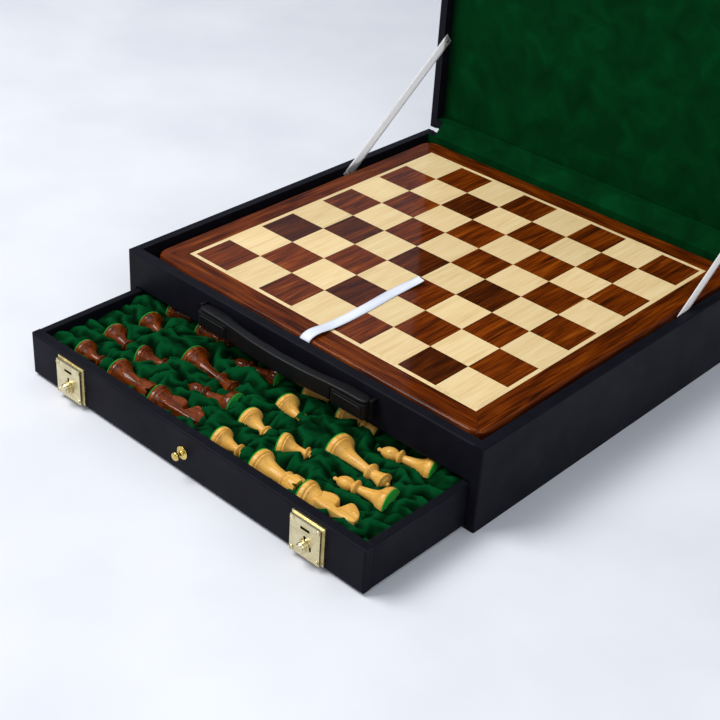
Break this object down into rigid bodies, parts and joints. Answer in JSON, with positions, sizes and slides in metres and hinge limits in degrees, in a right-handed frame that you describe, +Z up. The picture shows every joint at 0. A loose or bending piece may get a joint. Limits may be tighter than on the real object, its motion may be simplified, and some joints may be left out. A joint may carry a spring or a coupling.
{
  "type": "chess box with drawer",
  "caption": "Leatherette chess box: a hinged lid over a lift-out veneered board, a carrying handle, and a velvet drawer of chessmen closed by brass hasp locks.",
  "frame": {"origin": "centre of the case's underside", "axes": "+X to the right along the front, +Y to the back where the lid hinges, +Z up"},
  "size_m": [0.455, 0.659, 0.5545],
  "materials": {
    "leatherette": "fine-grained matt leatherette",
    "carcass": "black-stained board",
    "velvet": "dark green velvet",
    "handle_plastic": "moulded, satin",
    "steel": "plain",
    "brass": "pale brushed brass plate",
    "polished_brass": "polished",
    "light_men": "lacquered boxwood",
    "dark_men": "lacquered dark hardwood",
    "felt": "felt",
    "dark_veneer": "glossy lacquer over striped dark veneer",
    "light_veneer": "glossy lacquer over pale veneer",
    "core_wood": "plain",
    "white_ribbon": "satin ribbon"
  },
  "bodies": {
    "case": {"case_side_left": "leatherette", "case_side_right": "leatherette", "case_front_rail": "leatherette", "case_back": "leatherette", "case_base": "carcass", "board_shelf": "carcass", "drawer_kickers": "carcass", "back_wall_lining": "velvet", "handle_brackets": "handle_plastic", "handle_pins": "steel", "hinge_case_leaves": "brass", "hinge_pins": "steel", "case_screws": "steel"},
    "lid": {"lid_panel": "leatherette", "lid_front_wall": "leatherette", "lid_back_wall": "leatherette", "lid_sides": "leatherette", "lid_lining": "velvet", "hinge_lid_leaves": "brass", "lid_screws": "steel", "hasp_leaves": "brass", "hasp_pins": "steel", "stay_left": "white_ribbon", "stay_right": "white_ribbon", "hinge_cloth": "velvet"},
    "drawer": {"drawer_front": "leatherette", "drawer_side_left": "leatherette", "drawer_side_right": "leatherette", "drawer_back": "leatherette", "drawer_bottom": "carcass", "drawer_lining": "velvet", "lock_plates": "brass", "drawer_screws": "brass", "knob_rosette": "brass", "drawer_knob": "polished_brass", "felt_pads": "felt", "light_king": "light_men", "light_queen": "light_men", "light_bishops": "light_men", "light_knights": "light_men", "light_rooks": "light_men", "light_pawns": "light_men", "dark_king": "dark_men", "dark_queen": "dark_men", "dark_bishops": "dark_men", "dark_knights": "dark_men", "dark_rooks": "dark_men", "dark_pawns": "dark_men"},
    "board": {"board_core": "core_wood", "board_border": "dark_veneer", "light_squares": "light_veneer", "dark_squares": "dark_veneer", "inlay_line": "light_veneer", "pull_ribbon": "white_ribbon"},
    "handle": {"handle_grip": "handle_plastic"},
    "lock_left": {"lock_slider_left": "polished_brass"},
    "lock_right": {"lock_slider_right": "polished_brass"},
    "hasp_left": {"hasp_arm_left": "brass"},
    "hasp_right": {"hasp_arm_right": "brass"}
  },
  "joints": [
    {"name": "lid_hinge", "type": "hinge", "parent": "case", "child": "lid", "pos_m": [0, 0.2299, 0.08825], "axis": [-1, 0, 0], "range_deg": [-90, 0], "deforming": ["stay_left", "stay_right", "hinge_cloth"]},
    {"name": "drawer_slide", "type": "slide", "parent": "case", "child": "drawer", "axis": [0, -1, 0], "range_m": [-0.127, 0.17]},
    {"name": "board_lift", "type": "slide", "parent": "case", "child": "board", "axis": [0, 0, 1], "range_m": [0, 0.06]},
    {"name": "handle_swing", "type": "hinge", "parent": "case", "child": "handle", "pos_m": [0, -0.2309, 0.0774], "axis": [-1, 0, 0], "range_deg": [0, 80]},
    {"name": "lock_slide_left", "type": "slide", "parent": "drawer", "child": "lock_left", "axis": [-1, 0, 0], "range_m": [0, 0.0055], "stiffness_N_per_m": 120, "springref_m": -0.003},
    {"name": "lock_slide_right", "type": "slide", "parent": "drawer", "child": "lock_right", "axis": [1, 0, 0], "range_m": [0, 0.0055], "stiffness_N_per_m": 120, "springref_m": -0.003},
    {"name": "hasp_swing_left", "type": "hinge", "parent": "lid", "child": "hasp_left", "pos_m": [-0.1554, 0.2323, 0.55025], "axis": [-1, 0, 0], "range_deg": [-180, 0]},
    {"name": "hasp_swing_right", "type": "hinge", "parent": "lid", "child": "hasp_right", "pos_m": [0.1554, 0.2323, 0.55025], "axis": [-1, 0, 0], "range_deg": [-180, 0]}
  ]
}
